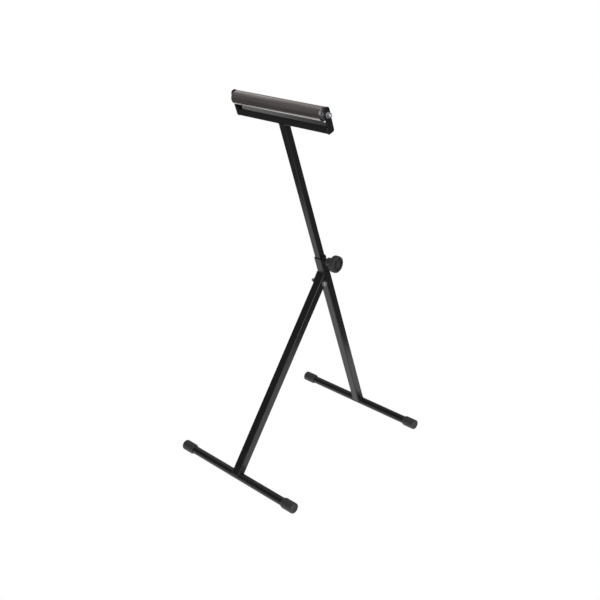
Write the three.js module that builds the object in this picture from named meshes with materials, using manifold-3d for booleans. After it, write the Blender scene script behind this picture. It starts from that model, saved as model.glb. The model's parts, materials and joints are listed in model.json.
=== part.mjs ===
// A folding roller stand: two square tube legs on round cross feet, hinged near the top of the rear leg,
// and a square post that slides in the rear leg and carries a steel roller between two end plates.
// Millimetres and degrees. X runs along the feet and the roller, -Y is the front, +Z is up.
// The origin is on the floor, midway between the two feet.

import * as THREE from "three";
import { mergeVertices } from "three/addons/utils/BufferGeometryUtils.js";
import Module from "manifold-3d";

// Clearances
const SEAT_GAP = 0.3; // between two pieces that touch
const POST_CLEARANCE = 0.7; // on each side of the post inside the outer tube
const BALL_GAP = 0.3; // between the balls and their grooves

// Legs, both from one square tube
const LEG_SIZE = 26.5;
const LEG_WALL = 1.8;
const LEG_CORNER = 2.2;
const INSIDE_CORNER = 0.3; // least radius inside a square tube
const REAR_LEAN = 19.5; // from the vertical, towards the front
const FRONT_LEAN = 35.8; // from the vertical, towards the rear
const OUTER_LENGTH = 634; // axis of the rear foot to the open top end
const PIVOT_DOWN = 80.5; // top end of the outer tube to the pivot, along the rear leg
const FOLD_SPACE = 1; // between the two legs when they are folded together

// Feet
const FOOT_DIAMETER = 25;
const FOOT_WALL = 1.5;
const REAR_FOOT_LENGTH = 483; // over the caps
const FRONT_FOOT_LENGTH = 471;
const CAP_WALL = 3.2;
const CAP_LENGTH = 45;
const CAP_END = 3;
const CAP_TAPER = 6;
const CAP_LIP = 1; // wall left at the tapered mouth
const CAP_ROUND = 2.5;
const CAP_RING_DIAMETER = 20; // moulded ring on the end face
const CAP_RING_WIDTH = 2.5;
const CAP_RING_DEPTH = 1;

// Hinge
const HINGE_PLATE = 3;
const HINGE_EYE = 12; // radius of the plate round the bolt
const HINGE_OVERLAP = 20; // how far the plate lies across the side of the tube
const HINGE_RISE = 26; // plate above the pivot, on the tube
const HINGE_ROUND = 4;
const SLEEVE_WALL = 2;
const PIVOT_BOLT_LENGTH = 50;

// M8 hardware
const BOLT_DIAMETER = 8;
const BOLT_CHAMFER = 1;
const HEX_ACROSS = 13;
const HEX_FACE = 12; // diameter of the flat face of a hexagon
const HEX_FALL = 1; // height of the chamfer on a corner of a hexagon
const HEAD_HEIGHT = 5.3;
const NUT_HEIGHT = 6.5;
const COLLAR_HEIGHT = 1.6; // locking collar of the pivot nut
const COLLAR_DIAMETER = 11;
const WASHER_DIAMETER = 16;
const WASHER_THICKNESS = 1.6;

// Post and head
const POST_WALL = 1.5;
const POST_CORNER = 1.8;
const POST_EXPOSED = 455; // top of the outer tube to the underside of the head
const POST_OVERLAP = 100; // inside the outer tube
const PLUG_FLANGE = 6;
const PLUG_DEPTH = 15;
const ROLLER_DIAMETER = 38;
const ROLLER_LENGTH = 318;
const ROLLER_WALL = 1.5;
const ROLLER_EDGE = 1; // chamfer at its ends
const ROLLER_SPACE = 10.5; // between the head bar and the roller above it
const LEFT_SPACE = 0.5; // between the end of the roller and the left plate, towards which it has slid
const RIGHT_SPACE = 10.5; // and the right plate
const BAR_CORNER = 3; // of the cross bar under the roller
const PLATE_THICKNESS = 3;
const PLATE_RISE = 3; // top of the end plate above the roller
const PLATE_ROUND = 6; // its lower corners
const AXLE_END = 3; // axle past its nut

// Roller bearings
const BEARING_DIAMETER = 22;
const BEARING_WIDTH = 7;
const BEARING_INSET = 3; // from the end of the roller
const RING_WALL = 2.2; // thickness of an inner or outer ring at its shoulder
const GROOVE_DEPTH = 0.7; // of the ball track in each ring
const BALLS = 7;
const CAGE_WIDTH = 2;
const CAGE_THICKNESS = 0.8;
const CUP_LENGTH = 14;
const CUP_INSET = 1; // from the end of the roller
const CUP_LIP = 1.5; // width of its lips, one of which stops the bearing
const CUP_DISH = 1.5; // depth of the ring sunk in its face

// Clamp
const CLAMP_DOWN = 11; // axis below the top of the outer tube
const WELD_NUT_HEIGHT = 10;
const PAD_DIAMETER = 7; // pellet under the tip of the stud
const PAD_THICKNESS = 3;
const KNOB_STANDOFF = 6; // between the welded nut and the knob
const KNOB_DIAMETER = 52;
const KNOB_DEPTH = 17;
const KNOB_HUB_DIAMETER = 26;
const KNOB_HUB_LENGTH = 21;
const KNOB_FLUTES = 18;
const KNOB_FLUTE_DEPTH = 1.6;
const KNOB_ROUND = 2;
const KNOB_RIM = 4.5; // wall round the recesses of the end face
const KNOB_BOSS_DIAMETER = 16; // centre of the end face
const KNOB_POCKETS = 6;
const KNOB_POCKET_DEPTH = 4;
const KNOB_RIB = 2.4; // web between two pockets
const SCREW_GRIP = 16; // stud held inside the knob

// Facets of round pieces, and how far a cutting tool reaches past its work
const FOOT_SIDES = 24;
const ROLLER_SIDES = 48;
const CUP_SIDES = 28;
const RING_SIDES = 20;
const BOLT_SIDES = 16;
const HEX_SIDES = 12;
const CORNER_STEPS = 3;
const ARC_STEPS = 6;
const GROOVE_STEPS = 3;
const BALL_STEPS = 6;
const FLUTE_STEPS = 4;
const BEVEL_STEPS = 2;
const OVERCUT = 5;
const MERGE = 1e-4; // corners closer than this are one

// Sizes that follow
const legHalf = LEG_SIZE / 2;
const bore = LEG_SIZE - 2 * LEG_WALL;
const postSize = bore - 2 * POST_CLEARANCE;
const postHalf = postSize / 2;
const footRadius = FOOT_DIAMETER / 2;
const capBore = footRadius + SEAT_GAP;
const capRadius = capBore + CAP_WALL;
const rearLean = THREE.MathUtils.degToRad(REAR_LEAN);
const frontLean = THREE.MathUtils.degToRad(FRONT_LEAN);
const openAngle = rearLean + frontLean;
const pivotUp = OUTER_LENGTH - PIVOT_DOWN;
const pivotForward = LEG_SIZE + FOLD_SPACE;
const pivotAboveFeet = pivotUp * Math.cos(rearLean) - pivotForward * Math.sin(rearLean);
const pivotToRear = pivotUp * Math.sin(rearLean) + pivotForward * Math.cos(rearLean);
const frontLength = pivotAboveFeet / Math.cos(frontLean);
const spread = pivotToRear + frontLength * Math.sin(frontLean);
const boltRadius = BOLT_DIAMETER / 2;
const holeRadius = boltRadius + SEAT_GAP;
const sleeveRadius = holeRadius + SLEEVE_WALL;
const hingeInner = legHalf + SEAT_GAP;
const hingeOuter = hingeInner + HINGE_PLATE;
const headUnderside = OUTER_LENGTH + POST_EXPOSED;
const rollerRadius = ROLLER_DIAMETER / 2;
const rollerHalf = ROLLER_LENGTH / 2;
const axleAboveHead = postSize + ROLLER_SPACE + rollerRadius;
const plateInner = rollerHalf + (LEFT_SPACE + RIGHT_SPACE) / 2;
const rollerShift = (RIGHT_SPACE - LEFT_SPACE) / 2;
const plateOuter = plateInner + PLATE_THICKNESS;
const bearingRadius = BEARING_DIAMETER / 2;
const bearingFace = rollerHalf - BEARING_INSET;
const bearingBack = bearingFace - BEARING_WIDTH;
const bearingSeat = bearingRadius + SEAT_GAP;
const innerRing = holeRadius + RING_WALL;
const outerRing = bearingRadius - RING_WALL;
const ballPitch = (innerRing + outerRing) / 2;
const grooveRadius = (outerRing - innerRing) / 2 + GROOVE_DEPTH;
const ballRadius = grooveRadius - BALL_GAP;
const clampUp = OUTER_LENGTH - CLAMP_DOWN;
const weldNutFace = legHalf + SEAT_GAP;
const knobStart = weldNutFace + WELD_NUT_HEIGHT + KNOB_STANDOFF;
const knobRadius = KNOB_DIAMETER / 2;

// Finishes
const FINISH = {
  paint: { color: 0x2b2b2d, roughness: 0.42, metalness: 0.0 },
  steel: { color: 0x8b8683, roughness: 0.3, metalness: 1.0 },
  zinc: { color: 0xc9ccd0, roughness: 0.28, metalness: 1.0 },
  plastic: { color: 0x303032, roughness: 0.6, metalness: 0.0 },
};

const wasm = await Module();
wasm.setup();

// A closed geometry as a solid, with its shared corners merged and empty triangles dropped.
function solid(geometry) {
  const plain = geometry.clone();
  plain.deleteAttribute("normal");
  plain.deleteAttribute("uv");
  const merged = mergeVertices(plain, MERGE);
  const index = merged.index.array;
  const triangles = [];
  for (let i = 0; i < index.length; i += 3) {
    const [a, b, c] = index.subarray(i, i + 3);
    if (a !== b && b !== c && c !== a) triangles.push(a, b, c);
  }
  const vertProperties = merged.attributes.position.array;
  const triVerts = new Uint32Array(triangles);
  return new wasm.Manifold(new wasm.Mesh({ numProp: 3, vertProperties, triVerts }));
}

function joined(...geometries) {
  return geometries.map(solid).reduce((whole, next) => whole.add(next));
}

function cut(whole, ...tools) {
  return tools.map(solid).reduce((left, tool) => left.subtract(tool), whole);
}

// A named piece from a solid, at a place along X in its group.
function mesh(name, finish, shape, x = 0) {
  const made = shape.getMesh();
  const geometry = new THREE.BufferGeometry();
  geometry.setAttribute("position", new THREE.BufferAttribute(made.vertProperties, 3));
  geometry.setIndex(new THREE.BufferAttribute(made.triVerts, 1));
  geometry.computeVertexNormals();
  const material = new THREE.MeshStandardMaterial({ ...FINISH[finish], flatShading: true });
  const piece = new THREE.Mesh(geometry, material);
  piece.name = name;
  piece.position.x = x;
  return piece;
}

// The same piece on the right, and turned half round on the left.
function addPair(parent, name, finish, shape, x) {
  const left = mesh(`${name}_left`, finish, shape, -x);
  left.rotation.z = Math.PI;
  parent.add(mesh(`${name}_right`, finish, shape, x), left);
}

function group(parent, y, z, turn = 0) {
  const made = new THREE.Group();
  made.position.set(0, y, z);
  made.rotation.x = turn;
  parent.add(made);
  return made;
}

// A square bar with round corners along +Z, from zero.
function squareBar(size, corner, length) {
  const inset = size / 2 - corner;
  const outline = new THREE.Shape();
  outline.absarc(inset, inset, corner, 0, Math.PI / 2);
  outline.absarc(-inset, inset, corner, Math.PI / 2, Math.PI);
  outline.absarc(-inset, -inset, corner, Math.PI, 1.5 * Math.PI);
  outline.absarc(inset, -inset, corner, 1.5 * Math.PI, 2 * Math.PI);
  outline.closePath();
  const options = { depth: length, bevelEnabled: false, curveSegments: CORNER_STEPS };
  return new THREE.ExtrudeGeometry(outline, options);
}

function insideCorner(corner, wall) {
  return Math.max(corner - wall, INSIDE_CORNER);
}

// The outside and the inside of a square tube along +Z, from zero.
function squareTube(size, wall, corner, length) {
  const inside = squareBar(size - 2 * wall, insideCorner(corner, wall), length + 2 * OVERCUT);
  inside.translate(0, 0, -OVERCUT);
  return [squareBar(size, corner, length), inside];
}

// A side view, drawn in Y and Z, made thick along +X from zero.
const SIDE_VIEW = new THREE.Matrix4().makeBasis(
  new THREE.Vector3(0, 1, 0),
  new THREE.Vector3(0, 0, 1),
  new THREE.Vector3(1, 0, 0),
);

function sideExtrude(outline, depth, options = {}) {
  const settings = { depth, bevelEnabled: false, curveSegments: ARC_STEPS, ...options };
  return new THREE.ExtrudeGeometry(outline, settings).applyMatrix4(SIDE_VIEW);
}

// A shape turned about X. The outline is a closed ring of [along X, radius], and one facet faces down.
function turned(outline, sides) {
  const profile = [...outline, outline[0]].map(([x, radius]) => new THREE.Vector2(radius, x));
  if (THREE.ShapeUtils.area(profile) < 0) profile.reverse();
  return new THREE.LatheGeometry(profile, sides, Math.PI / sides).rotateZ(-Math.PI / 2);
}

function roundTube(start, end, inner, outer, sides) {
  return turned([[start, inner], [end, inner], [end, outer], [start, outer]], sides);
}

function roundBar(start, end, radius, sides) {
  return turned([[start, 0], [end, 0], [end, radius], [start, radius]], sides);
}

// A drill along X that leaves the hole for a bolt.
function boltDrill(start, end) {
  return roundBar(start, end, holeRadius, BOLT_SIDES);
}

// A bolt's shank along X, chamfered at both ends.
function shank(start, end) {
  const outline = [
    [start, 0],
    [end, 0],
    [end, boltRadius - BOLT_CHAMFER],
    [end - BOLT_CHAMFER, boltRadius],
    [start + BOLT_CHAMFER, boltRadius],
    [start, boltRadius - BOLT_CHAMFER],
  ];
  return turned(outline, BOLT_SIDES);
}

// A hexagon along +X from zero, chamfered at its far end, and at its near end too if asked.
function hexagon(height, bothEnds) {
  const corner = HEX_ACROSS / Math.sqrt(3);
  const points = [];
  for (let i = 0; i < 6; i++) {
    const angle = (i * Math.PI) / 3;
    points.push(new THREE.Vector2(corner * Math.cos(angle), corner * Math.sin(angle)));
  }
  const facet = Math.cos(Math.PI / HEX_SIDES);
  const face = HEX_FACE / 2 / facet;
  const wide = corner / facet;
  const near = bothEnds ? [[HEX_FALL, wide], [0, face]] : [[0, wide]];
  const blank = [[0, 0], [height, 0], [height, face], [height - HEX_FALL, wide], ...near];
  const prism = sideExtrude(new THREE.Shape(points), height);
  return solid(prism).intersect(solid(turned(blank, HEX_SIDES)));
}

function nut(height, bothEnds) {
  return cut(hexagon(height, bothEnds), boltDrill(-OVERCUT, height + OVERCUT));
}

const washer = solid(roundTube(0, WASHER_THICKNESS, holeRadius, WASHER_DIAMETER / 2, RING_SIDES));

const stand = new THREE.Group();

// Feet: a round cross tube with a moulded cap on each end

// A cap with its closed end at zero and its mouth towards -X.
function footCap() {
  const flat = capRadius / Math.cos(Math.PI / FOOT_SIDES);
  const ringOuter = CAP_RING_DIAMETER / 2;
  const ringInner = ringOuter - CAP_RING_WIDTH;
  const outline = [
    [-CAP_END, 0],
    [0, 0],
    [0, ringInner],
    [-CAP_RING_DEPTH, ringInner],
    [-CAP_RING_DEPTH, ringOuter],
    [0, ringOuter],
  ];
  for (let i = 0; i <= CORNER_STEPS; i++) {
    const angle = (i * Math.PI) / 2 / CORNER_STEPS;
    const along = -CAP_ROUND * (1 - Math.cos(angle));
    outline.push([along, flat - CAP_ROUND * (1 - Math.sin(angle))]);
  }
  outline.push([CAP_TAPER - CAP_LENGTH, flat], [-CAP_LENGTH, capBore + CAP_LIP]);
  outline.push([-CAP_LENGTH, capBore], [-CAP_END, capBore]);
  return turned(outline, FOOT_SIDES);
}

function addFoot(parent, name, length) {
  const half = length / 2 - CAP_END - SEAT_GAP;
  const tube = roundTube(-half, half, footRadius - FOOT_WALL, footRadius, FOOT_SIDES);
  parent.add(mesh(`${name}_foot_tube`, "paint", solid(tube)));
  addPair(parent, `${name}_foot_cap`, "plastic", solid(footCap()), length / 2);
}

const rearFoot = group(stand, spread / 2, capRadius);
const frontFoot = group(stand, -spread / 2, capRadius);
addFoot(rearFoot, "rear", REAR_FOOT_LENGTH);
addFoot(frontFoot, "front", FRONT_FOOT_LENGTH);

// Hollow that fits a leg over its cross tube
const saddle = roundBar(-LEG_SIZE, LEG_SIZE, footRadius + SEAT_GAP, FOOT_SIDES);

// Rear leg: Z runs up the tube from the axis of the foot, and the front is -Y
const rearLeg = group(rearFoot, 0, 0, rearLean);
const [outerOutside, outerInside] = squareTube(LEG_SIZE, LEG_WALL, LEG_CORNER, OUTER_LENGTH);
const clampHole = boltDrill(0, LEG_SIZE).translate(0, 0, clampUp);
rearLeg.add(mesh("outer_tube", "paint", cut(solid(outerOutside), outerInside, saddle, clampHole)));

// Hinge: two plates on the sides of the outer tube, and the bolt through them
const pivot = group(rearLeg, -pivotForward, pivotUp);

// Side view of a hinge plate about the pivot: an eye round the bolt, and a foot on the side of the tube.
function hingeOutline() {
  const tubeFront = pivotForward - legHalf;
  const back = tubeFront + HINGE_OVERLAP - HINGE_ROUND;
  const slope = Math.atan2(HINGE_RISE - HINGE_EYE, tubeFront);
  const outline = new THREE.Shape();
  outline.absarc(0, 0, HINGE_EYE, Math.PI / 2 + slope, 1.5 * Math.PI);
  outline.absarc(back, HINGE_ROUND - HINGE_EYE, HINGE_ROUND, 1.5 * Math.PI, 2 * Math.PI);
  outline.absarc(back, HINGE_RISE - HINGE_ROUND, HINGE_ROUND, 0, Math.PI / 2);
  outline.lineTo(tubeFront, HINGE_RISE);
  outline.closePath();
  return outline;
}

const hingeDrill = boltDrill(-OVERCUT, HINGE_PLATE + OVERCUT);
const hingePlate = cut(solid(sideExtrude(hingeOutline(), HINGE_PLATE)), hingeDrill);
pivot.add(mesh("hinge_plate_right", "paint", hingePlate, hingeInner));
pivot.add(mesh("hinge_plate_left", "paint", hingePlate, -hingeOuter));

const washerFace = hingeOuter + SEAT_GAP;
const hexFace = washerFace + WASHER_THICKNESS + SEAT_GAP;
const bolt = hexagon(HEAD_HEIGHT, false).add(solid(shank(-PIVOT_BOLT_LENGTH, HEAD_HEIGHT / 2)));
pivot.add(mesh("pivot_bolt", "zinc", bolt, hexFace));
pivot.add(mesh("pivot_washer_head", "zinc", washer, washerFace));
pivot.add(mesh("pivot_washer_nut", "zinc", washer, -washerFace - WASHER_THICKNESS));
const collarEnd = NUT_HEIGHT + COLLAR_HEIGHT;
const collar = solid(roundBar(NUT_HEIGHT / 2, collarEnd, COLLAR_DIAMETER / 2, RING_SIDES));
const lockBody = cut(hexagon(NUT_HEIGHT, true).add(collar), boltDrill(-OVERCUT, collarEnd + OVERCUT));
const lockNut = mesh("pivot_nut", "zinc", lockBody, -hexFace);
lockNut.rotation.z = Math.PI;
pivot.add(lockNut);

// Front leg: Z runs up the tube from the axis of its foot to the pivot. Its top bears on the outer tube, and
// is rounded below that so that it clears the outer tube as it folds.
const frontLeg = group(frontFoot, 0, 0, -frontLean);
const legBlank = frontLength + 2 * pivotForward;
const [legOutside, legInside] = squareTube(LEG_SIZE, LEG_WALL, LEG_CORNER, legBlank);
const cutSize = 4 * pivotForward;
const topReach = pivotForward - legHalf - SEAT_GAP; // from the pivot to the outer tube
const mitre = new THREE.BoxGeometry(cutSize, cutSize, cutSize);
mitre.translate(0, topReach + cutSize / 2, 0);
mitre.rotateX(openAngle);
mitre.translate(0, 0, frontLength);
const reliefOutline = new THREE.Shape();
reliefOutline.absarc(0, 0, topReach, 0, openAngle);
reliefOutline.lineTo(cutSize * Math.cos(openAngle), cutSize * Math.sin(openAngle));
reliefOutline.lineTo(cutSize, 0);
reliefOutline.closePath();
const relief = sideExtrude(reliefOutline, 2 * LEG_SIZE).translate(-LEG_SIZE, 0, frontLength);
const sleeveHole = roundBar(-LEG_SIZE, LEG_SIZE, sleeveRadius + SEAT_GAP, BOLT_SIDES);
sleeveHole.translate(0, 0, frontLength);
const frontTube = cut(solid(legOutside), legInside, mitre, relief, saddle, sleeveHole);
frontLeg.add(mesh("front_leg_tube", "paint", frontTube));
const sleeve = solid(roundTube(-legHalf, legHalf, holeRadius, sleeveRadius, BOLT_SIDES));
group(frontLeg, 0, frontLength).add(mesh("pivot_sleeve", "zinc", sleeve));

// Post: it slides in the outer tube, with a plug that guides its lower end
const post = group(rearLeg, 0, OUTER_LENGTH - POST_OVERLAP);
const postLength = POST_OVERLAP + POST_EXPOSED - SEAT_GAP;
const [postOutside, postInside] = squareTube(postSize, POST_WALL, POST_CORNER, postLength);
post.add(mesh("inner_tube", "paint", cut(solid(postOutside), postInside)));
const flangeSize = bore - 2 * SEAT_GAP;
const spigotSize = postSize - 2 * POST_WALL - 2 * SEAT_GAP;
const flange = squareBar(flangeSize, POST_CORNER, PLUG_FLANGE).translate(0, 0, -SEAT_GAP - PLUG_FLANGE);
const spigot = squareBar(spigotSize, insideCorner(POST_CORNER, POST_WALL), PLUG_DEPTH + PLUG_FLANGE);
spigot.translate(0, 0, -SEAT_GAP - PLUG_FLANGE);
post.add(mesh("post_plug", "plastic", joined(flange, spigot)));

// Head: a cross bar from the same tube as the post, with an upright plate on each end
const head = group(rearLeg, 0, headUnderside);
const barLength = 2 * plateInner - 2 * SEAT_GAP;
const [barOutside, barInside] = squareTube(postSize, POST_WALL, BAR_CORNER, barLength);
const headBar = mesh("head_bar", "paint", cut(solid(barOutside), barInside), -barLength / 2);
headBar.rotation.y = Math.PI / 2;
headBar.position.z = postHalf;
head.add(headBar);

// Roller axis, with the plates drawn about it
const roller = group(head, 0, axleAboveHead);
const plateSide = postHalf - PLATE_ROUND;
const plateLow = PLATE_ROUND - axleAboveHead;
const plateOutline = new THREE.Shape();
plateOutline.absarc(-plateSide, plateLow, PLATE_ROUND, Math.PI, 1.5 * Math.PI);
plateOutline.absarc(plateSide, plateLow, PLATE_ROUND, 1.5 * Math.PI, 2 * Math.PI);
plateOutline.absarc(0, rollerRadius + PLATE_RISE - postHalf, postHalf, 0, Math.PI);
plateOutline.closePath();
const plateDrill = boltDrill(-OVERCUT, PLATE_THICKNESS + OVERCUT);
const headPlate = cut(solid(sideExtrude(plateOutline, PLATE_THICKNESS)), plateDrill);
addPair(roller, "head_plate", "paint", headPlate, plateInner);

// Axle: a bar through both plates, with its nuts and washers
const axleWasherFace = plateOuter + SEAT_GAP;
const axleNutFace = axleWasherFace + WASHER_THICKNESS + SEAT_GAP;
const axleHalf = axleNutFace + NUT_HEIGHT + AXLE_END;
const axleNut = nut(NUT_HEIGHT, true);
roller.add(mesh("roller_axle", "zinc", solid(shank(-axleHalf, axleHalf))));
addPair(roller, "axle_washer", "zinc", washer, axleWasherFace);
addPair(roller, "axle_nut", "zinc", axleNut, axleNutFace);

// The roller lies nearer to the left plate, with a spacer on each side that fills what is left
const slid = group(roller, 0, 0);
slid.position.x = -rollerShift;

function spacer(space) {
  const length = BEARING_INSET + space - 2 * SEAT_GAP;
  return solid(roundTube(0, length, holeRadius, innerRing, RING_SIDES));
}

const spacerFace = bearingFace + SEAT_GAP;
const leftSpacer = mesh("axle_spacer_left", "zinc", spacer(LEFT_SPACE), -spacerFace);
leftSpacer.rotation.z = Math.PI;
slid.add(mesh("axle_spacer_right", "zinc", spacer(RIGHT_SPACE), spacerFace), leftSpacer);
addPair(slid, "axle_stop_nut", "zinc", axleNut, bearingBack - SEAT_GAP - NUT_HEIGHT);

// Bearings: two rings with a ball track each, and the balls in their cage between them

// Points of a ball track, from the near shoulder of a ring to the far one; side is 1 outwards, -1 inwards.
function track(shoulder, side) {
  const reach = Math.acos(Math.abs(shoulder - ballPitch) / grooveRadius);
  const points = [];
  for (let i = 0; i <= GROOVE_STEPS; i++) {
    const angle = reach * (1 - (2 * i) / GROOVE_STEPS);
    const along = BEARING_WIDTH / 2 + grooveRadius * Math.sin(angle);
    points.push([along, ballPitch + side * grooveRadius * Math.cos(angle)]);
  }
  return points;
}

function bearingRing(seat, shoulder, side) {
  const outline = [[0, seat], [BEARING_WIDTH, seat], [BEARING_WIDTH, shoulder]];
  outline.push(...track(shoulder, side), [0, shoulder]);
  return solid(turned(outline, RING_SIDES));
}

function ballSet() {
  const half = CAGE_THICKNESS / 2;
  const pieces = [roundTube(-CAGE_WIDTH / 2, CAGE_WIDTH / 2, ballPitch - half, ballPitch + half, RING_SIDES)];
  for (let i = 0; i < BALLS; i++) {
    const angle = (i * 2 * Math.PI) / BALLS;
    const ball = new THREE.SphereGeometry(ballRadius, BALL_STEPS, BALL_STEPS - 2);
    pieces.push(ball.translate(0, ballPitch * Math.cos(angle), ballPitch * Math.sin(angle)));
  }
  return joined(...pieces);
}

addPair(slid, "bearing_inner_ring", "zinc", bearingRing(holeRadius, innerRing, -1), bearingBack);
addPair(slid, "bearing_outer_ring", "zinc", bearingRing(bearingRadius, outerRing, 1), bearingBack);
addPair(slid, "bearing_balls", "zinc", ballSet(), bearingBack + BEARING_WIDTH / 2);

// Roller: a steel tube with a bearing housing pressed into each end
const rollerBore = rollerRadius - ROLLER_WALL;
const rollerOutline = [
  [-rollerHalf, rollerBore],
  [rollerHalf, rollerBore],
  [rollerHalf, rollerRadius - ROLLER_EDGE],
  [rollerHalf - ROLLER_EDGE, rollerRadius],
  [ROLLER_EDGE - rollerHalf, rollerRadius],
  [-rollerHalf, rollerRadius - ROLLER_EDGE],
];
slid.add(mesh("roller_tube", "steel", solid(turned(rollerOutline, ROLLER_SIDES))));

// A bearing housing with its outer face at zero.
function endCup() {
  const outside = rollerBore - SEAT_GAP;
  const shelf = CUP_INSET - BEARING_INSET - BEARING_WIDTH - SEAT_GAP;
  const lip = bearingSeat - CUP_LIP;
  const outline = [
    [-CUP_LENGTH, lip],
    [shelf, lip],
    [shelf, bearingSeat],
    [0, bearingSeat],
    [0, bearingSeat + CUP_LIP],
    [-CUP_DISH, bearingSeat + CUP_LIP],
    [-CUP_DISH, outside - CUP_LIP],
    [0, outside - CUP_LIP],
    [0, outside],
    [-CUP_LENGTH, outside],
  ];
  return solid(turned(outline, CUP_SIDES));
}

addPair(slid, "roller_end_cup", "steel", endCup(), rollerHalf - CUP_INSET);

// Clamp: a nut welded over the hole in the outer tube, and a fluted knob on a stud that presses a pellet
// against the post
const clamp = group(rearLeg, 0, clampUp);
const pad = solid(roundBar(0, PAD_THICKNESS, PAD_DIAMETER / 2, BOLT_SIDES));
const padFace = postHalf + SEAT_GAP;
const screwStart = padFace + PAD_THICKNESS + SEAT_GAP;
clamp.add(mesh("clamp_nut", "paint", nut(WELD_NUT_HEIGHT, false), weldNutFace));
clamp.add(mesh("clamp_pad", "plastic", pad, padFace));
clamp.add(mesh("clamp_screw", "zinc", solid(shank(screwStart, knobStart + SCREW_GRIP))));

function fluteOutline() {
  const count = KNOB_FLUTES * FLUTE_STEPS;
  const points = [];
  for (let i = 0; i < count; i++) {
    const angle = (i * 2 * Math.PI) / count;
    const wave = (1 - Math.cos(KNOB_FLUTES * angle)) / 2;
    const radius = knobRadius - KNOB_FLUTE_DEPTH * wave ** 2;
    points.push(new THREE.Vector2(radius * Math.cos(angle), radius * Math.sin(angle)));
  }
  return new THREE.Shape(points);
}

// One recess of the end face: a sector between the boss and the rim, with a web left on each side of it.
function pocketOutline(turn) {
  const inner = KNOB_BOSS_DIAMETER / 2;
  const outer = knobRadius - KNOB_FLUTE_DEPTH - KNOB_RIM;
  const half = Math.PI / KNOB_POCKETS;
  const innerHalf = half - Math.asin(KNOB_RIB / 2 / inner);
  const outerHalf = half - Math.asin(KNOB_RIB / 2 / outer);
  const outline = new THREE.Shape();
  outline.absarc(0, 0, outer, turn - outerHalf, turn + outerHalf);
  outline.absarc(0, 0, inner, turn + innerHalf, turn - innerHalf, true);
  outline.closePath();
  return outline;
}

// The knob from the back of its hub, at zero, to its end face.
function knobSolid() {
  const rounding = {
    bevelEnabled: true,
    bevelThickness: KNOB_ROUND,
    bevelSize: KNOB_ROUND,
    bevelOffset: -KNOB_ROUND,
    bevelSegments: BEVEL_STEPS,
  };
  const grip = sideExtrude(fluteOutline(), KNOB_DEPTH - 2 * KNOB_ROUND, rounding);
  grip.translate(KNOB_HUB_LENGTH + KNOB_ROUND, 0, 0);
  const hub = roundBar(0, KNOB_HUB_LENGTH + KNOB_DEPTH / 2, KNOB_HUB_DIAMETER / 2, RING_SIDES);
  const tools = [boltDrill(-OVERCUT, SCREW_GRIP + SEAT_GAP)];
  for (let i = 0; i < KNOB_POCKETS; i++) {
    const turn = (i * 2 * Math.PI) / KNOB_POCKETS;
    const pocket = sideExtrude(pocketOutline(turn), KNOB_POCKET_DEPTH + OVERCUT);
    tools.push(pocket.translate(KNOB_HUB_LENGTH + KNOB_DEPTH - KNOB_POCKET_DEPTH, 0, 0));
  }
  return cut(joined(grip, hub), ...tools);
}

clamp.add(mesh("clamp_knob", "plastic", knobSolid(), knobStart));

export default stand;
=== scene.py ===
"""Folding roller stand: paint, welds, threads and moulded plastic over the fixed frame, in studio light.

Each operator dresses one group of pieces of the stand. Lengths are in metres.
"""

import json
import math

import bmesh
import bpy
from mathutils import Matrix, Vector


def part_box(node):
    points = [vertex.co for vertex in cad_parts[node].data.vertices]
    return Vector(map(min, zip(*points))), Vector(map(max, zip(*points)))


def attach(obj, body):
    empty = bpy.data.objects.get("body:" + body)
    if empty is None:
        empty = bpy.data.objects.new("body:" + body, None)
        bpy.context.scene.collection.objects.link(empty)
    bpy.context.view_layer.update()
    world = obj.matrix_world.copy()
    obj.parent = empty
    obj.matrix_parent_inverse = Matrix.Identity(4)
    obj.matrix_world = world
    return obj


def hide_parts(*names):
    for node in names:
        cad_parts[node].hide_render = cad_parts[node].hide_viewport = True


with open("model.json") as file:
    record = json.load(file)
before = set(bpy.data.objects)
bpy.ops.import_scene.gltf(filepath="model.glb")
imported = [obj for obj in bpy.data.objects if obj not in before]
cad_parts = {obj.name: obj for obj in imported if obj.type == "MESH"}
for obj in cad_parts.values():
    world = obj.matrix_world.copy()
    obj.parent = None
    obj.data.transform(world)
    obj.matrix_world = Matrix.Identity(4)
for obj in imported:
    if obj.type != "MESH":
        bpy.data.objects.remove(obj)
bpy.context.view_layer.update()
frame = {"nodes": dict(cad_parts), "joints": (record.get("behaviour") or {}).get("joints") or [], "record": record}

bl_info = {
    "name": "Roller stand",
    "version": (1, 0, 0),
    "blender": (4, 5, 0),
    "location": "3D View > Sidebar > Stand",
    "description": "Dresses a folding roller stand with paint, welds, threads and studio light",
    "category": "Object",
}

MM = 0.001


def middle(node):
    """The middle of a CAD piece."""
    low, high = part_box(node)
    return (low + high) / 2


def half_width(node):
    """Half the size of a CAD piece along X."""
    low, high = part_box(node)
    return (high.x - low.x) / 2


def leaning(origin, direction):
    """The frame of a leg: Z along its tube from the axis of its foot, X along the foot."""
    lean = math.atan2(-direction.y, direction.z)
    return Matrix.Translation(origin) @ Matrix.Rotation(lean, 4, "X")


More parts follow.
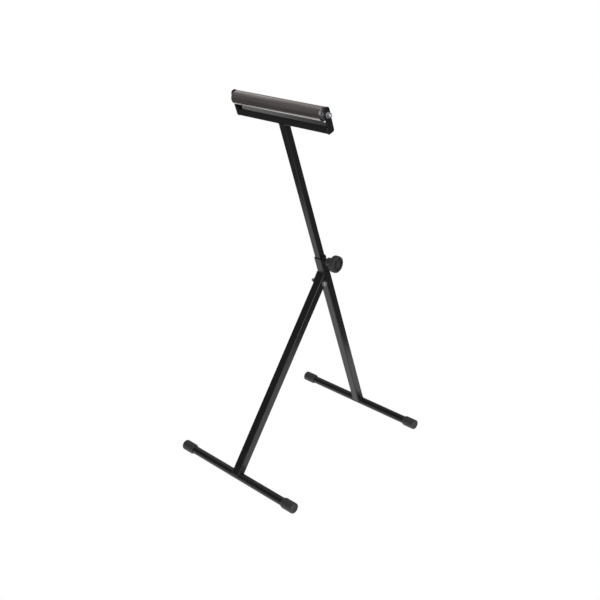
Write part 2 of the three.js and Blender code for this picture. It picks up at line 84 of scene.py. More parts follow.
# Places and sizes that the frame gives
JOINTS = {joint["name"]: joint for joint in frame["joints"]}
PIVOT = Vector(JOINTS["front_leg_fold"]["pos_m"])
ROLLER = Vector(JOINTS["roller_spin"]["pos_m"])
KNOB = Vector(JOINTS["knob_turn"]["pos_m"])
UP_THE_LEG = Vector(JOINTS["post_slide"]["axis"])
REAR_FOOT = middle("rear_foot_tube")
FRONT_FOOT = middle("front_foot_tube")
REAR_LEG = leaning(REAR_FOOT, UP_THE_LEG)
FRONT_LEG = leaning(FRONT_FOOT, PIVOT - FRONT_FOOT)
LEG_HALF = half_width("outer_tube")
POST_HALF = half_width("inner_tube")
BAR_HALF = half_width("head_bar")
CAP_RADIUS = REAR_FOOT.z
PIVOT_ON_LEG = REAR_LEG.inverted() @ PIVOT
ROLLER_ON_LEG = REAR_LEG.inverted() @ ROLLER
SLOT_OF = {part["node"]: part["material_slot"] for part in frame["record"]["subparts"]}
BODY_OF = {node: body for body, nodes in frame["record"]["behaviour"]["bodies"].items() for node in nodes}

# Sizes of the feet and the roller that a box doesn't give
FOOT_RADIUS = 12.5 * MM
FOOT_WALL = 1.5 * MM
FOOT_SIDES = 64
CAP_BORE = 12.8 * MM
CAP_END = 3 * MM  # thickness of the closed end
CAP_CORNER = 4.5 * MM  # rounding of the closed end
CAP_CORNER_STEPS = 6
CAP_TAPER = 6 * MM  # length that narrows towards the open end
CAP_LIP = 1 * MM  # wall at the open end
CAP_GROOVE_DEPTH = 1 * MM  # ring that is sunk in the closed end
CAP_GROOVE_INNER = 7.5 * MM
CAP_GROOVE_OUTER = 10 * MM
CAP_EDGE = 0.25 * MM
ROLLER_RADIUS = 19 * MM
ROLLER_WALL = 1.5 * MM
ROLLER_SIDES = 128
ROLLER_EDGE = 0.7 * MM

# Sizes of the hinge, the head and the hardware that a box doesn't give
HINGE_RISE = 26 * MM  # hinge plate above the pivot
HINGE_EYE = 12 * MM  # and below it
HINGE_BACK = 34.25 * MM  # and behind it
HINGE_ROUND = 4 * MM
HINGE_BARE = 2.2 * MM  # front of the outer tube that is left bare for the front leg
HEAD_DROP = 51 * MM  # axis of the roller to the underside of the cross bar
BAR_CORNER = 3 * MM
HEX_CORNER = 7.5 * MM
BOLT_CHAMFER = 1 * MM

# Welds and threads
SEAM_STEPS = 24  # points along a round seam
RIPPLE_STEPS = 4  # points along one ripple of a bead
RIPPLE_RELIEF = 0.12  # how far a ripple swells and sinks, as a share of the bead's width
RIPPLE_THIN = 0.85  # the thinnest ripple, as a share of the bead's width
RIPPLE_THICK = 1.1  # and the thickest
BEAD_SIDES = 8
THREAD_STEPS = 24  # points along one turn
THREAD_SIDES = 4

# How a CAD piece is made smooth
MERGE_DISTANCE = 0.002 * MM
FLAT_ANGLE = math.radians(1)  # faces that lean less than this are one flat face
SHARP_ANGLE = math.radians(40)  # edges that turn more than this are rounded
EDGE_SEGMENTS = 2

# Most values of a noise pattern lie between these two
NOISE_LOW = 0.3
NOISE_HIGH = 0.7

# The camera stands where the photograph was taken from
IMAGE_WIDTH = 600
FOCAL_PIXELS = 834.37
SENSOR_WIDTH = 36
CAMERA_LENS = SENSOR_WIDTH * FOCAL_PIXELS / IMAGE_WIDTH
CAMERA_AZIMUTH = math.radians(42.335)
CAMERA_ELEVATION = math.radians(25.098)
CAMERA_DISTANCE = 2.52056
CAMERA_RIGHT = Vector((math.cos(CAMERA_AZIMUTH), math.sin(CAMERA_AZIMUTH), 0))
AWAY = Vector((-math.sin(CAMERA_AZIMUTH), math.cos(CAMERA_AZIMUTH), 0))
AIM_HEIGHT = 450 * MM
AIM_LEFT = 6.824 * MM
AIM_UP = 41.58 * MM

# The room, as places from front to back and their shades, over a dim ground
WALL_SHADES = ((0.15, 0.19), (0.32, 0.2), (0.43, 0.36), (0.55, 0.43), (0.7, 0.4), (0.85, 0.4))
GROUND_SHADE = 0.12
GROUND_TOP = -0.15  # height, as a share of the view, where the ground starts to turn into wall
WALL_FOOT = 0.05

# Sheets that light the stand, or that its shiny faces mirror
WHITE = (1, 1, 1, 1)
FLOOR_REACH = 30
PAPER_LEFT = -0.8
PAPER_RIGHT = 0.624
PAPER_NEAR = -1.2
PAPER_BEND = 0.55  # where the paper gets brighter
PAPER_FAR = 6
PAPER_DROP = 2 * MM  # under the floor
# The painted shadow behind each foot: its half length, its depth, and how far under the floor it lies
SHADE_REACH = 0.28
SHADE_DEPTH = 0.06
SHADE_DROP = 1 * MM
LIGHT_DISTANCE = 3
TO_BACK_LIGHT = Vector((-0.763, 0.324, 0.559))
TO_FRONT_LIGHT = Vector((0.784, -0.44, 0.43))


def linear(hex_colour):
    """An sRGB hex colour as linear RGBA."""
    parts = [int(hex_colour[i : i + 2], 16) / 255 for i in (1, 3, 5)]
    return tuple(c / 12.92 if c <= 0.04045 else ((c + 0.055) / 1.055) ** 2.4 for c in parts) + (1.0,)


def size_property(name, description, millimetres):
    """A length that a user may change."""
    return bpy.props.FloatProperty(
        name=name, description=description, default=millimetres * MM, unit="LENGTH"
    )


def colour_property(name, description, hex_colour):
    """A colour that a user may change."""
    return bpy.props.FloatVectorProperty(
        name=name, description=description, default=linear(hex_colour), subtype="COLOR", size=4
    )


class StandSizes(bpy.types.PropertyGroup):
    """Sizes of the details that are added to the frame."""

    edge_round: size_property("Edge rounding", "Radius on the cut edges of tubes, plates and hardware", 0.4)
    weld_width: size_property("Weld width", "Width of a weld bead", 3.2)
    weld_ripple: size_property("Weld ripple", "Distance between two ripples of a weld bead", 1.6)
    thread_radius: size_property("Thread radius", "Radius of the shanks that carry the threads", 4)
    thread_pitch: size_property("Thread pitch", "Distance between two turns of a thread", 1.25)
    thread_height: size_property("Thread height", "How far a thread stands out of its shank", 0.25)


class StandColours(bpy.types.PropertyGroup):
    """Colours of the finishes."""

    paint: colour_property("Paint", "Powder coat on the tubes and plates", "#191818")
    plastic: colour_property("Plastic", "Moulded caps and knob", "#373738")
    roller: colour_property("Roller", "Drawn steel of the roller", "#a19a98")
    zinc: colour_property("Zinc", "Plating on bolts, nuts and washers", "#c8cbd0")
    floor: colour_property("Floor", "Pale studio floor", "#ffffff")


def add_node(tree, kind, inputs=None, **settings):
    """Adds a node, sets its properties, and fills or links its inputs. A node gives its first output."""
    made = tree.nodes.new(kind)
    for name, value in settings.items():
        setattr(made, name, value)
    for name, value in (inputs or {}).items():
        if isinstance(value, bpy.types.Node):
            value = value.outputs[0]
        if isinstance(value, bpy.types.NodeSocket):
            tree.links.new(value, made.inputs[name])
        else:
            made.inputs[name].default_value = value
    return made


def new_material(name):
    """An empty material and its tree."""
    material = bpy.data.materials.new(name)
    material.use_nodes = True
    material.node_tree.nodes.clear()
    return material, material.node_tree


def close_material(tree, pattern, colour, shades, roughness, looks):
    """Ends a finish in one shader, with its colour and its roughness spread over a noise pattern."""
    noise = {"Value": pattern, "From Min": NOISE_LOW, "From Max": NOISE_HIGH}
    shade = add_node(tree, "ShaderNodeMapRange", {**noise, "To Min": shades[0], "To Max": shades[1]})
    tint = add_node(tree, "ShaderNodeVectorMath", {0: colour[:3], "Scale": shade}, operation="SCALE")
    gloss = add_node(tree, "ShaderNodeMapRange", {**noise, "To Min": roughness[0], "To Max": roughness[1]})
    shader = add_node(tree, "ShaderNodeBsdfPrincipled", {"Base Color": tint, "Roughness": gloss, **looks})
    add_node(tree, "ShaderNodeOutputMaterial", {"Surface": shader})


def powder_coat(colour):
    """Black polyester powder coat baked on steel: satin, with a faint orange peel."""
    material, tree = new_material("powder_coat")
    place = add_node(tree, "ShaderNodeTexCoord").outputs["Object"]
    # Real peel is about 1 mm from crest to crest, drawn coarser so that it shows
    peel_size = 1.4 * MM
    cloud_size = 45 * MM
    peel = add_node(tree, "ShaderNodeTexNoise", {"Vector": place, "Scale": 1 / peel_size, "Detail": 1.0})
    cloud = add_node(tree, "ShaderNodeTexNoise", {"Vector": place, "Scale": 1 / cloud_size, "Detail": 3.0})
    bump = add_node(tree, "ShaderNodeBump", {"Height": peel, "Strength": 0.12, "Distance": 0.06 * MM})
    close_material(tree, cloud, colour, (0.85, 1.15), (0.2, 0.27), {"IOR": 1.46, "Normal": bump})
    return material


def drawn_steel(colour):
    """Drawn steel tube, dark under a film of oil: a dull mirror with fine streaks along the draw."""
    material, tree = new_material("drawn_steel")
    place = add_node(tree, "ShaderNodeTexCoord").outputs["Object"]
    # Real draw marks are finer than 0.5 mm, drawn wider so that they show
    streak_length = 110 * MM
    streak_width = 2.5 * MM
    draw = (1 / streak_length, 1 / streak_width, 1 / streak_width)
    along = add_node(tree, "ShaderNodeMapping", {"Vector": place, "Scale": draw})
    streak = add_node(tree, "ShaderNodeTexNoise", {"Vector": along, "Scale": 1.0, "Detail": 3.0})
    close_material(tree, streak, colour, (0.75, 1.25), (0.34, 0.27), {"Metallic": 1.0})
    return material


def zinc_plate(colour):
    """Bright zinc plate on steel fasteners: pale metal with a slightly cloudy shine."""
    material, tree = new_material("zinc_plate")
    place = add_node(tree, "ShaderNodeTexCoord").outputs["Object"]
    cloud_size = 3 * MM
    cloud = add_node(tree, "ShaderNodeTexNoise", {"Vector": place, "Scale": 1 / cloud_size, "Detail": 2.0})
    close_material(tree, cloud, colour, (0.9, 1.05), (0.4, 0.55), {"Metallic": 1.0})
    return material


def moulded_plastic(colour):
    """Moulded black polypropylene: matt, with the fine spark grain of its mould."""
    material, tree = new_material("moulded_plastic")
    place = add_node(tree, "ShaderNodeTexCoord").outputs["Object"]
    # Real spark grain is about 0.3 mm, drawn coarser so that it shows
    grain_size = 0.9 * MM
    grain = add_node(tree, "ShaderNodeTexNoise", {"Vector": place, "Scale": 1 / grain_size, "Detail": 2.0})
    bump = add_node(tree, "ShaderNodeBump", {"Height": grain, "Strength": 0.3, "Distance": 0.12 * MM})
    close_material(tree, grain, colour, (0.88, 1.12), (0.45, 0.6), {"IOR": 1.49, "Normal": bump})
    return material


FINISHES = {
    "black_paint": (powder_coat, "paint"),
    "roller_steel": (drawn_steel, "roller"),
    "zinc_plate": (zinc_plate, "zinc"),
    "black_plastic": (moulded_plastic, "plastic"),
}
made_finishes = {}


def finish_of(slot):
    """The material of one of the record's slots, made once."""
    if slot not in made_finishes:
        maker, colour = FINISHES[slot]
        made_finishes[slot] = maker(tuple(getattr(bpy.context.scene.stand_colours, colour)))
    return made_finishes[slot]


def add_piece(name, mesh, body, slot, *nodes):
    """A finished mesh as a piece that rides on a body and stands for the nodes that are named."""
    piece = bpy.data.objects.new(name, mesh)
    bpy.context.scene.collection.objects.link(piece)
    mesh.materials.clear()
    mesh.materials.append(finish_of(slot))
    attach(piece, body)
    if nodes:
        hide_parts(*nodes)


def stand_in(node, mesh):
    """A finished mesh that stands for one CAD piece."""
    add_piece(node + "_dressed", mesh, BODY_OF[node], SLOT_OF[node], node)


def plain_mesh(holder):
    """The mesh that an object's modifiers make; the object itself is thrown away."""
    bpy.context.scene.collection.objects.link(holder)
    graph = bpy.context.evaluated_depsgraph_get()
    mesh = bpy.data.meshes.new_from_object(
        holder.evaluated_get(graph), preserve_all_data_layers=True, depsgraph=graph
    )
    bpy.data.objects.remove(holder)
    return mesh


def softened(mesh, width):
    """A copy of a mesh with its sharp edges rounded and its flat faces kept flat in the light."""
    mesh.shade_smooth()
    holder = bpy.data.objects.new("holder", mesh)
    edges = holder.modifiers.new("edges", "BEVEL")
    edges.width = width
    edges.segments = EDGE_SEGMENTS
    edges.limit_method = "ANGLE"
    edges.angle_limit = SHARP_ANGLE
    flats = holder.modifiers.new("flats", "WEIGHTED_NORMAL")
    flats.keep_sharp = True
    return plain_mesh(holder)


def dress_node(node):
    """A smooth copy of a CAD piece, with softened edges, that stands for it."""
    shell = bmesh.new()
    shell.from_mesh(frame["nodes"][node].data)
    bmesh.ops.remove_doubles(shell, verts=shell.verts, dist=MERGE_DISTANCE)
    bmesh.ops.dissolve_limit(shell, angle_limit=FLAT_ANGLE, verts=shell.verts, edges=shell.edges)
    mesh = bpy.data.meshes.new(node + "_shape")
    shell.to_mesh(mesh)
    shell.free()
    stand_in(node, softened(mesh, bpy.context.scene.stand_sizes.edge_round))


def plain_node(node):
    """Gives an inner CAD piece its finish and leaves its shape."""
    data = frame["nodes"][node].data
    data.materials.clear()
    data.materials.append(finish_of(SLOT_OF[node]))


def turned(outline, centre, sides):
    """A mesh turned about the X direction. The outline is a closed ring of (along X, radius)."""
    shell = bmesh.new()
    rings = []
    for along, radius in outline:
        count = sides if radius else 1
        ring = []
        for i in range(count):
            angle = 2 * math.pi * i / sides
            around = Vector((along, radius * math.cos(angle), radius * math.sin(angle)))
            ring.append(shell.verts.new(centre + around))
        rings.append(ring)
    for ring, following in zip(rings, rings[1:] + rings[:1]):
        for i in range(sides):
            pair = (i, (i + 1) % sides)
            corners = [ring[k % len(ring)] for k in pair]
            corners += [following[k % len(following)] for k in reversed(pair)]
            corners = list(dict.fromkeys(corners))
            if len(corners) > 2:
                shell.faces.new(corners)
    bmesh.ops.recalc_face_normals(shell, faces=shell.faces)
    mesh = bpy.data.meshes.new("turned")
    shell.to_mesh(mesh)
    shell.free()
    return mesh


def tube_outline(half, outer, wall):
    """The cut through the wall of a tube that is open at both ends."""
    return [(-half, outer - wall), (half, outer - wall), (half, outer), (-half, outer)]


def new_tree(name, inputs):
    """A geometry tree with named inputs, and the outputs of its input node."""
    tree = bpy.data.node_groups.new(name, "GeometryNodeTree")
    for label, kind in {"Geometry": "Geometry", **inputs, "Finish": "Material"}.items():
        tree.interface.new_socket(name=label, in_out="INPUT", socket_type="NodeSocket" + kind)
    tree.interface.new_socket(name="Geometry", in_out="OUTPUT", socket_type="NodeSocketGeometry")
    return tree, add_node(tree, "NodeGroupInput").outputs


def close_tree(tree, geometry, finish):
    """Ends a tree with plain geometry in one finish."""
    plain = add_node(tree, "GeometryNodeRealizeInstances", {"Geometry": geometry})
    dressed = add_node(tree, "GeometryNodeSetMaterial", {"Geometry": plain, "Material": finish})
    add_node(tree, "NodeGroupOutput", {"Geometry": dressed})


def grown(tree, mesh, settings):
    """The plain mesh that a tree makes from a mesh."""
    holder = bpy.data.objects.new("holder", mesh)
    growth = holder.modifiers.new("growth", "NODES")
    growth.node_group = tree
    for socket in tree.interface.items_tree:
        if socket.in_out == "INPUT" and socket.name in settings:
            growth[socket.identifier] = settings[socket.name]
    return plain_mesh(holder)


def weld_tree():
    """A bead along each path of edges, with the uneven ripples of a weld that was run by hand."""
    sizes = {"Width": "Float", "Ripple": "Float", "Relief": "Float", "Seed": "Int"}
    tree, given = new_tree("weld_bead", sizes)
    path = add_node(tree, "GeometryNodeMeshToCurve", {"Mesh": given["Geometry"]})
    step = add_node(tree, "ShaderNodeMath", {0: given["Ripple"], 1: RIPPLE_STEPS}, operation="DIVIDE")
    points = add_node(tree, "GeometryNodeResampleCurve", {"Curve": path, "Length": step}, mode="LENGTH")
    run = add_node(tree, "GeometryNodeSplineParameter").outputs["Length"]
    ripples = add_node(tree, "ShaderNodeMath", {0: run, 1: given["Ripple"]}, operation="DIVIDE")
    angle = add_node(tree, "ShaderNodeMath", {0: ripples, 1: 2 * math.pi}, operation="MULTIPLY")
    wave = add_node(tree, "ShaderNodeMath", {0: angle}, operation="SINE")
    swell = add_node(tree, "ShaderNodeMath", {0: wave, 1: given["Relief"]}, operation="MULTIPLY")
    # Each ripple has a size of its own, between the numbers of inputs 2 and 3
    ripple = add_node(tree, "ShaderNodeMath", {0: ripples}, operation="FLOOR")
    uneven = add_node(
        tree,
        "FunctionNodeRandomValue",
        {2: RIPPLE_THIN, 3: RIPPLE_THICK, "ID": ripple, "Seed": given["Seed"]},
        data_type="FLOAT",
    )
    size = add_node(tree, "ShaderNodeMath", {0: uneven.outputs[1], 1: swell}, operation="ADD")
    radius = add_node(tree, "ShaderNodeMath", {0: given["Width"], 1: 2.0}, operation="DIVIDE")
    section = add_node(
        tree, "GeometryNodeCurvePrimitiveCircle", {"Resolution": BEAD_SIDES, "Radius": radius}
    )
    bead = add_node(
        tree,
        "GeometryNodeCurveToMesh",
        {"Curve": points, "Profile Curve": section, "Scale": size, "Fill Caps": True},
    )
    smooth = add_node(tree, "GeometryNodeSetShadeSmooth", {"Geometry": bead})
    close_tree(tree, smooth, given["Finish"])
    return tree


def thread_tree():
    """A screw thread along X from each point."""
    sizes = {"Length": "Float", "Radius": "Float", "Pitch": "Float", "Height": "Float"}
    tree, given = new_tree("screw_thread", sizes)
    turns = add_node(tree, "ShaderNodeMath", {0: given["Length"], 1: given["Pitch"]}, operation="DIVIDE")
    # The section is centred below the shank's surface, so that its crest stands out by the height
    root = add_node(tree, "ShaderNodeMath", {0: given["Radius"], 1: given["Height"]}, operation="SUBTRACT")
    crest = add_node(tree, "ShaderNodeMath", {0: given["Height"], 1: 2.0}, operation="MULTIPLY")
    helix = add_node(
        tree,
        "GeometryNodeCurveSpiral",
        {
            "Resolution": THREAD_STEPS,
            "Rotations": turns,
            "Start Radius": root,
            "End Radius": root,
            "Height": given["Length"],
        },
    )
    section = add_node(
        tree, "GeometryNodeCurvePrimitiveCircle", {"Resolution": THREAD_SIDES, "Radius": crest}
    )
    thread = add_node(
        tree, "GeometryNodeCurveToMesh", {"Curve": helix, "Profile Curve": section, "Fill Caps": True}
    )
    turn = (0, math.pi / 2, 0)
    lying = add_node(tree, "GeometryNodeTransform", {"Geometry": thread, "Rotation": turn})
    placed = add_node(
        tree, "GeometryNodeInstanceOnPoints", {"Points": given["Geometry"], "Instance": lying}
    )
    close_tree(tree, placed, given["Finish"])
    return tree


def path_mesh(paths):
    """A mesh of edges only, from paths that are each a list of points and whether it is closed."""
    points = []
    edges = []
    for path, closed in paths:
        start = len(points)
        points += path
        count = len(path) if closed else len(path) - 1
        edges += [(start + i, start + (i + 1) % len(path)) for i in range(count)]
    mesh = bpy.data.meshes.new("path")
    mesh.from_pydata(points, edges, [])
    return mesh


def saddle_seam(leg):
    """Round the end of a leg, where it stands on its cross tube."""
    path = []
    for side in (1, -1):
        for step in range(SEAM_STEPS + 1):
            angle = side * (step / SEAM_STEPS - 0.5) * math.pi
            over = (side * LEG_HALF, FOOT_RADIUS * math.sin(angle), FOOT_RADIUS * math.cos(angle))
            path.append(leg @ Vector(over))
    return path, True


def nut_seam():
    """Round the clamp nut, on the side of the outer tube."""
    path = []
    for step in range(SEAM_STEPS):
        angle = 2 * math.pi * step / SEAM_STEPS
        path.append(KNOB + Vector((LEG_HALF, HEX_CORNER * math.cos(angle), HEX_CORNER * math.sin(angle))))
    return path, True


def hinge_seam(side):
    """Along the edges of a hinge plate that lie on the side of the outer tube."""
    start = HINGE_BARE - LEG_HALF
    back = PIVOT_ON_LEG.y + HINGE_BACK
    high = PIVOT_ON_LEG.z + HINGE_RISE
    low = PIVOT_ON_LEG.z - HINGE_EYE
    corners = [
        (start, high),
        (back - HINGE_ROUND, high),
        (back, high - HINGE_ROUND),
        (back, low + HINGE_ROUND),
        (back - HINGE_ROUND, low),
        (start, low),
    ]
    return [REAR_LEG @ Vector((side * LEG_HALF, y, z)) for y, z in corners], False


def square_corners():
    """The outline of the post and the cross bar, with each corner cut to follow its rounding."""
    flat = POST_HALF - BAR_CORNER
    quarter = [Vector((POST_HALF, flat)), Vector((flat, POST_HALF))]
    corners = []
    for turn in range(4):
        corners += [Matrix.Rotation(turn * math.pi / 2, 2) @ corner for corner in quarter]
    return corners


def post_seam(underside):
    """Round the top of the post, under the cross bar."""
    return [REAR_LEG @ Vector((corner.x, corner.y, underside)) for corner in square_corners()], True


def bar_seam(side, underside):
    """Round an end of the cross bar, on the inside of an end plate."""
    centre = underside + POST_HALF
    path = []
    for corner in square_corners():
        path.append(REAR_LEG @ Vector((side * BAR_HALF, corner.x, centre + corner.y)))
    return path, True


class STAND_OT_tubes(bpy.types.Operator):
    """Paint the square tubes of the legs, the post and the head"""

    bl_idname = "stand.tubes"
    bl_label = "Square tubes"

    def execute(self, context):
        for node in ("outer_tube", "front_leg_tube", "inner_tube", "head_bar"):
            dress_node(node)
        plain_node("post_plug")
        return {"FINISHED"}


class STAND_OT_feet(bpy.types.Operator):
    """Make the round cross tubes and their moulded caps"""

    bl_idname = "stand.feet"
    bl_label = "Feet"

    def execute(self, context):
        edge = context.scene.stand_sizes.edge_round
        for name in ("rear", "front"):
            self.cross_tube(name + "_foot_tube", edge)
            self.cap(name + "_foot_cap_left", -1)
            self.cap(name + "_foot_cap_right", 1)
        return {"FINISHED"}

    def cross_tube(self, node, edge):
        """The painted tube of a foot."""
        outline = tube_outline(half_width(node), FOOT_RADIUS, FOOT_WALL)
        stand_in(node, softened(turned(outline, middle(node), FOOT_SIDES), edge))

    def cap(self, node, side):
        """A cap, closed at the end of the foot, with a sunk ring there and a narrower open end."""
        low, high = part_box(node)
        length = high.x - low.x
        outline = [
            (-CAP_END, 0),
            (0, 0),
            (0, CAP_GROOVE_INNER),
            (-CAP_GROOVE_DEPTH, CAP_GROOVE_INNER),
            (-CAP_GROOVE_DEPTH, CAP_GROOVE_OUTER),
            (0, CAP_GROOVE_OUTER),
        ]
        for step in range(CAP_CORNER_STEPS + 1):
            angle = step * math.pi / 2 / CAP_CORNER_STEPS
            along = (math.cos(angle) - 1) * CAP_CORNER
            outline.append((along, CAP_RADIUS + (math.sin(angle) - 1) * CAP_CORNER))
        outline += [
            (CAP_TAPER - length, CAP_RADIUS),
            (-length, CAP_BORE + CAP_LIP),
            (-length, CAP_BORE),
            (-CAP_END, CAP_BORE),
        ]
        outline = [(side * along, radius) for along, radius in outline]
        centre = middle(node)
        centre.x = high.x if side > 0 else low.x
        stand_in(node, softened(turned(outline, centre, FOOT_SIDES), CAP_EDGE))


class STAND_OT_hinge(bpy.types.Operator):
    """Dress the hinge plates and the pivot bolt with its nut and washers"""

    bl_idname = "stand.hinge"
    bl_label = "Hinge"

    def execute(self, context):
        for node in (
            "hinge_plate_left",
            "hinge_plate_right",
            "pivot_bolt",
            "pivot_nut",
            "pivot_washer_head",
            "pivot_washer_nut",
        ):
            dress_node(node)
        plain_node("pivot_sleeve")
        return {"FINISHED"}


class STAND_OT_clamp(bpy.types.Operator):
    """Dress the clamp knob, its stud and the welded nut"""

    bl_idname = "stand.clamp"
    bl_label = "Clamp"

    def execute(self, context):
        for node in ("clamp_nut", "clamp_screw", "clamp_knob"):
            dress_node(node)
        plain_node("clamp_pad")
        return {"FINISHED"}


class STAND_OT_head(bpy.types.Operator):
    """Dress the end plates of the head and the hardware of the axle"""

    bl_idname = "stand.head"
    bl_label = "Head"

    def execute(self, context):
        dress_node("roller_axle")
        for side in ("left", "right"):
            for piece in ("head_plate", "axle_nut", "axle_washer", "axle_spacer"):
                dress_node(f"{piece}_{side}")
            plain_node(f"axle_stop_nut_{side}")
        return {"FINISHED"}


class STAND_OT_roller(bpy.types.Operator):
    """Make the steel roller and dress its end cups and bearings"""

    bl_idname = "stand.roller"
    bl_label = "Roller"

    def execute(self, context):
        node = "roller_tube"
        outline = tube_outline(half_width(node), ROLLER_RADIUS, ROLLER_WALL)
        stand_in(node, softened(turned(outline, middle(node), ROLLER_SIDES), ROLLER_EDGE))
        for side in ("left", "right"):
            dress_node(f"roller_end_cup_{side}")
            for piece in ("bearing_outer_ring", "bearing_inner_ring", "bearing_balls"):
                plain_node(f"{piece}_{side}")
        return {"FINISHED"}


class STAND_OT_welds(bpy.types.Operator):
    """Run the weld beads of the legs, the hinge, the clamp nut and the head"""

    bl_idname = "stand.welds"
    bl_label = "Welds"

    def execute(self, context):
        sizes = context.scene.stand_sizes
        tree = weld_tree()
        underside = ROLLER_ON_LEG.z - HEAD_DROP
        seams = {
            "rear_leg": [saddle_seam(REAR_LEG), nut_seam(), hinge_seam(-1), hinge_seam(1)],
            "front_leg": [saddle_seam(FRONT_LEG)],
            "inner_post": [post_seam(underside), bar_seam(-1, underside), bar_seam(1, underside)],
        }
        for seed, (body, paths) in enumerate(seams.items()):
            settings = {
                "Width": sizes.weld_width,
                "Ripple": sizes.weld_ripple,
                "Relief": RIPPLE_RELIEF,
                "Seed": seed,
                "Finish": finish_of("black_paint"),
            }
            mesh = grown(tree, path_mesh(paths), settings)
            add_piece(f"welds_{body}", mesh, body, "black_paint")
        return {"FINISHED"}


class STAND_OT_threads(bpy.types.Operator):
    """Cut the threads of the clamp stud, the pivot bolt and the axle"""

    bl_idname = "stand.threads"
    bl_label = "Threads"

    def execute(self, context):
        sizes = context.scene.stand_sizes
        tree = thread_tree()
        stud = (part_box("clamp_nut")[1].x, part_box("clamp_knob")[0].x)
        bolt = (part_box("pivot_bolt")[0].x + BOLT_CHAMFER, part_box("pivot_nut")[0].x)
        axle = (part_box("axle_nut_right")[1].x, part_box("roller_axle")[1].x - BOLT_CHAMFER)
        other_end = (-axle[1], -axle[0])
        self.cut(sizes, tree, "clamp_knob", KNOB, [stud])
        self.cut(sizes, tree, "rear_leg", PIVOT, [bolt])
        self.cut(sizes, tree, "inner_post", ROLLER, [axle, other_end])
        return {"FINISHED"}

    def cut(self, sizes, tree, body, axis, spans):
        """The threads of one body: spans along X, all as long as the first, about one axis."""
        starts = [Vector((span[0], axis.y, axis.z)) for span in spans]
        points = bpy.data.meshes.new("starts")
        points.from_pydata(starts, [], [])
        settings = {
            "Length": spans[0][1] - spans[0][0],
            "Radius": sizes.thread_radius,
            "Pitch": sizes.thread_pitch,
            "Height": sizes.thread_height,
            "Finish": finish_of("zinc_plate"),
        }
        mesh = grown(tree, points, settings)
        add_piece(f"thread_{body}", mesh, body, "zinc_plate")


def square(half):
    """The four corners of a square, in turn."""
    return [(-half, -half), (half, -half), (half, half), (-half, half)]


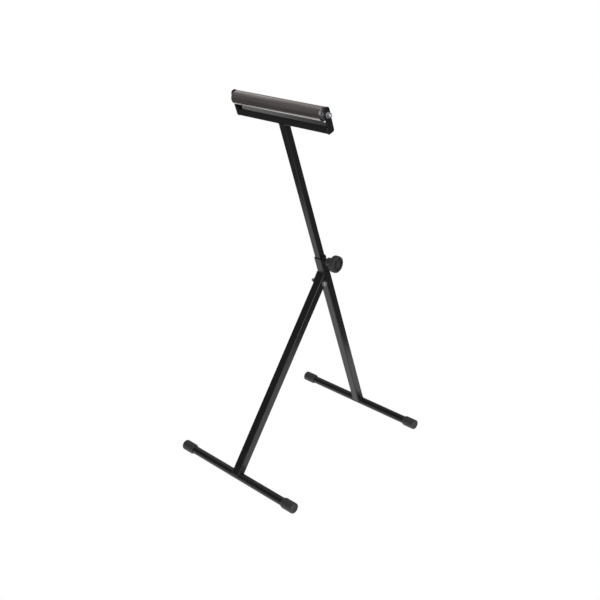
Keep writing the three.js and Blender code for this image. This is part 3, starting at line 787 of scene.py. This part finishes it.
class STAND_OT_stage(bpy.types.Operator):
    """Set up the pale floor, the studio light and the camera"""

    bl_idname = "stand.stage"
    bl_label = "Stage"

    def execute(self, context):
        scene = context.scene
        scene.view_settings.view_transform = "Standard"
        self.camera(scene)
        self.room(scene)
        self.floor(scene)
        self.paper(scene, "paper", PAPER_NEAR, PAPER_BEND, strength=1.0)
        self.paper(scene, "paper_back", PAPER_BEND, PAPER_FAR, strength=1.7)
        # Painted shadows: dim sheets behind the feet, in place of their shadows on the paper, which the undersides
        # mirror
        self.contact_shade(scene, REAR_FOOT, strength=0.3)
        self.contact_shade(scene, FRONT_FOOT, strength=0.3)
        # The top of the cross bar and the upper edge of the roller mirror the back light
        self.softbox(scene, "back_light", TO_BACK_LIGHT, half=0.42, strength=1.35)
        # The rounded corners of the front leg mirror the front light
        self.softbox(scene, "front_light", TO_FRONT_LIGHT, half=1.8, strength=3.4)
        # The fill light brightens the faces themselves and isn't mirrored
        fill = self.softbox(scene, "fill_light", TO_FRONT_LIGHT, half=0.8, strength=2.5)
        fill.visible_diffuse = True
        fill.visible_glossy = False
        return {"FINISHED"}

    def camera(self, scene):
        """The camera of the photograph."""
        level = math.cos(CAMERA_ELEVATION)
        back = Vector((0, 0, math.sin(CAMERA_ELEVATION))) - AWAY * level
        up = back.cross(CAMERA_RIGHT)
        aim = Vector((0, 0, AIM_HEIGHT)) - CAMERA_RIGHT * AIM_LEFT + up * AIM_UP
        data = bpy.data.cameras.new("camera")
        data.sensor_width = SENSOR_WIDTH
        data.lens = CAMERA_LENS
        camera = bpy.data.objects.new("camera", data)
        place = Matrix((CAMERA_RIGHT, up, back)).transposed().to_4x4()
        place.translation = aim + back * CAMERA_DISTANCE
        camera.matrix_world = place
        scene.collection.objects.link(camera)
        scene.camera = camera

    def room(self, scene):
        """A soft grey room, brighter behind the stand, with a dim ground beyond the paper."""
        world = bpy.data.worlds.new("studio")
        world.use_nodes = True
        tree = world.node_tree
        tree.nodes.clear()
        look = add_node(tree, "ShaderNodeTexCoord").outputs["Generated"]
        way = add_node(tree, "ShaderNodeSeparateXYZ", {"Vector": look}).outputs
        depth = add_node(tree, "ShaderNodeMapRange", {"Value": way["Y"], "From Min": -1.0, "From Max": 1.0})
        walls = add_node(tree, "ShaderNodeValToRGB", {"Fac": depth})
        ramp = walls.color_ramp
        for place, shade in WALL_SHADES[1:-1]:
            ramp.elements.new(place)
        for element, (place, shade) in zip(ramp.elements, WALL_SHADES):
            element.position = place
            element.color = (shade, shade, shade, 1)
        height = add_node(
            tree,
            "ShaderNodeMapRange",
            {"Value": way["Z"], "From Min": GROUND_TOP, "From Max": WALL_FOOT},
            interpolation_type="SMOOTHSTEP",
        )
        ground = (GROUND_SHADE, GROUND_SHADE, GROUND_SHADE, 1)
        # Inputs 6 and 7 and output 2 of this node are its colours
        light = add_node(tree, "ShaderNodeMix", {0: height, 6: ground, 7: walls}, data_type="RGBA")
        glow = add_node(tree, "ShaderNodeBackground", {"Color": light.outputs[2], "Strength": 1.0})
        add_node(tree, "ShaderNodeOutputWorld", {"Surface": glow})
        scene.world = world

    def sheet(self, scene, name, corners, colour, strength):
        """A flat sheet that gives off an even light."""
        material, tree = new_material(name)
        glow = add_node(tree, "ShaderNodeEmission", {"Color": colour, "Strength": strength})
        add_node(tree, "ShaderNodeOutputMaterial", {"Surface": glow})
        mesh = bpy.data.meshes.new(name)
        mesh.from_pydata(corners, [], [(0, 1, 2, 3)])
        mesh.materials.append(material)
        made = bpy.data.objects.new(name, mesh)
        scene.collection.objects.link(made)
        return made

    def only_mirrored(self, sheet):
        """Leaves a sheet to be seen in shiny faces alone."""
        sheet.visible_camera = False
        sheet.visible_diffuse = False
        sheet.visible_shadow = False

    def floor(self, scene):
        """The pale floor that lights the stand. It is clear to the camera, as a leg folds past it."""
        colour = tuple(scene.stand_colours.floor)
        outline = square(FLOOR_REACH)
        floor = self.sheet(scene, "floor", [(x, y, 0) for x, y in outline], colour, 1.0)
        floor.visible_glossy = False
        floor.visible_camera = False
        low, high = -FLOOR_REACH, FLOOR_REACH
        sides = [[(x, y, low) for x, y in outline]]
        for near, far in zip(outline, outline[1:] + outline[:1]):
            sides.append([(*near, low), (*far, low), (*far, high), (*near, high)])
        for corners in sides:
            self.backdrop(scene, corners, colour)

    def backdrop(self, scene, corners, colour):
        """A side of the pale box, far round the floor, that closes the view and lights nothing."""
        side = self.sheet(scene, "backdrop", corners, colour, 1.0)
        side.visible_glossy = False
        side.visible_diffuse = False
        side.visible_shadow = False
        side.active_material.cycles.emission_sampling = "NONE"

    def paper(self, scene, name, near, far, strength):
        """A strip of the bright paper under the stand, which the shiny faces mirror."""
        below = Vector((0, 0, -PAPER_DROP))
        edges = ((PAPER_LEFT, near), (PAPER_RIGHT, near), (PAPER_RIGHT, far), (PAPER_LEFT, far))
        corners = [CAMERA_RIGHT * across + AWAY * along + below for across, along in edges]
        self.only_mirrored(self.sheet(scene, name, corners, WHITE, strength))

    def contact_shade(self, scene, foot, strength):
        """A painted shadow: a dimmer glowing strip just above the paper behind a foot, in place of the foot's
        shadow, which its underside mirrors.
        """
        left, right = -SHADE_REACH, SHADE_REACH
        edges = ((left, 0), (right, 0), (right, SHADE_DEPTH), (left, SHADE_DEPTH))
        corners = [(across, foot.y + back, -SHADE_DROP) for across, back in edges]
        self.only_mirrored(self.sheet(scene, "contact_shade", corners, WHITE, strength))

    def softbox(self, scene, name, towards, half, strength):
        """A square light that faces the roller from a distance."""
        centre = ROLLER + towards.normalized() * LIGHT_DISTANCE
        across = towards.cross(Vector((0, 0, 1))).normalized()
        rise = across.cross(towards).normalized()
        corners = [centre + across * right + rise * up for right, up in square(half)]
        box = self.sheet(scene, name, corners, WHITE, strength)
        self.only_mirrored(box)
        return box


class STAND_PT_panel(bpy.types.Panel):
    """Lists the operators, sizes and colours of the stand"""

    bl_idname = "STAND_PT_panel"
    bl_label = "Roller stand"
    bl_space_type = "VIEW_3D"
    bl_region_type = "UI"
    bl_category = "Stand"

    def draw(self, context):
        for operator in OPERATORS:
            self.layout.operator(operator.bl_idname)
        for group in (context.scene.stand_sizes, context.scene.stand_colours):
            for name in group.__annotations__:
                self.layout.prop(group, name)


OPERATORS = (
    STAND_OT_tubes,
    STAND_OT_feet,
    STAND_OT_hinge,
    STAND_OT_clamp,
    STAND_OT_head,
    STAND_OT_roller,
    STAND_OT_welds,
    STAND_OT_threads,
    STAND_OT_stage,
)
CLASSES = (StandSizes, StandColours, *OPERATORS, STAND_PT_panel)


def register():
    """Adds the classes and the stand's settings to Blender."""
    for made in CLASSES:
        bpy.utils.register_class(made)
    bpy.types.Scene.stand_sizes = bpy.props.PointerProperty(type=StandSizes)
    bpy.types.Scene.stand_colours = bpy.props.PointerProperty(type=StandColours)


def unregister():
    """Takes them out again."""
    del bpy.types.Scene.stand_colours
    del bpy.types.Scene.stand_sizes
    for made in reversed(CLASSES):
        bpy.utils.unregister_class(made)


def main():
    """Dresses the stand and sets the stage."""
    register()
    for operator in OPERATORS:
        group, name = operator.bl_idname.split(".")
        getattr(getattr(bpy.ops, group), name)()
    bpy.context.view_layer.update()


if __name__ == "__main__":
    main()
